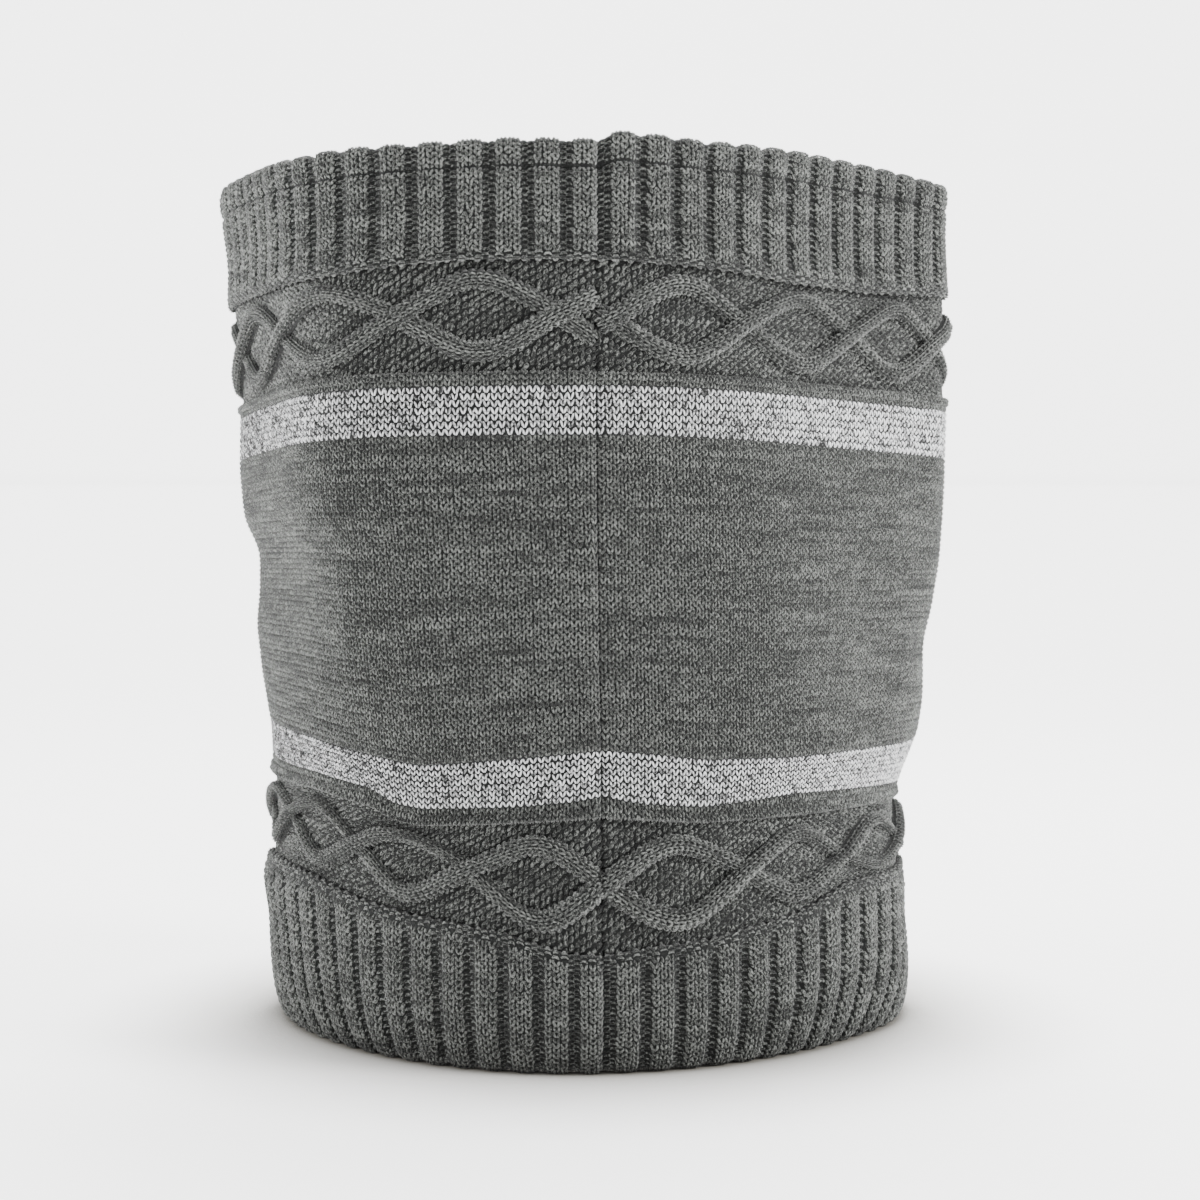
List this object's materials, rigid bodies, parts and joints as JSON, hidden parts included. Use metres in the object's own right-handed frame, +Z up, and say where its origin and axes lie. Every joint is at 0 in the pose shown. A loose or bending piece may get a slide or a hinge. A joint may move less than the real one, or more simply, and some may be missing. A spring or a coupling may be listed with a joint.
{
  "type": "knitted neck warmer",
  "caption": "Open knitted tube worn round the neck: ribbed rims, cable bands, metallic stripes, a plain middle, a back seam and a loose fleece lining.",
  "frame": {"origin": "centre of the bounding box's bottom, on the surface that the tube stands on", "axes": "+Z up along the tube towards its open top, -Y towards the back seam, +X towards the right-hand fold as the seam faces the viewer"},
  "size_m": [0.2198, 0.1787, 0.25],
  "materials": {
    "rib_knit": "matt marl rib knit",
    "jersey_knit": "matt marl plain knit",
    "cable_knit": "matt marl reverse knit with raised cables",
    "metallic_knit": "plain knit with silver metallic thread",
    "seam_yarn": "matt sewing yarn",
    "fleece": "soft brushed fleece",
    "label_satin": "satin woven tape",
    "tab_satin": "satin woven tape"
  },
  "bodies": {
    "lower": {"bottom_rib_band": "rib_knit", "bottom_hem_stitch": "seam_yarn", "lower_rib_linking": "seam_yarn", "lower_cable_ground": "cable_knit", "lower_cable_strand_a": "cable_knit", "lower_cable_strand_b": "cable_knit", "lower_panel_linking": "seam_yarn", "lower_welt": "jersey_knit", "lower_stripe": "metallic_knit", "main_panel": "jersey_knit", "back_seam_thread": "seam_yarn", "lining": "fleece", "lining_seam_thread": "seam_yarn", "label_stitch": "seam_yarn", "side_tab_stitch": "seam_yarn"},
    "upper": {"upper_stripe": "metallic_knit", "upper_welt": "jersey_knit", "upper_panel_linking": "seam_yarn", "upper_cable_ground": "cable_knit", "upper_cable_strand_a": "cable_knit", "upper_cable_strand_b": "cable_knit", "upper_rib_linking": "seam_yarn", "top_rib_band": "rib_knit", "top_hem_stitch": "seam_yarn"},
    "care_label": {"care_label": "label_satin"},
    "side_tab": {"side_tab": "tab_satin"}
  },
  "joints": [
    {"name": "slouch", "type": "slide", "parent": "lower", "child": "upper", "axis": [0, 0, 1], "range_m": [-0.045, 0], "deforming": ["main_panel", "lining", "back_seam_thread", "lining_seam_thread"]},
    {"name": "care_label_swing", "type": "hinge", "parent": "lower", "child": "care_label", "pos_m": [-0.014, -0.07485, 0.062], "axis": [1, 0, 0], "range_deg": [0, 75]},
    {"name": "side_tab_swing", "type": "hinge", "parent": "lower", "child": "side_tab", "pos_m": [0.09674, 0.01661, 0.035], "axis": [0.3382, -0.9411, 0], "range_deg": [0, 80]}
  ]
}
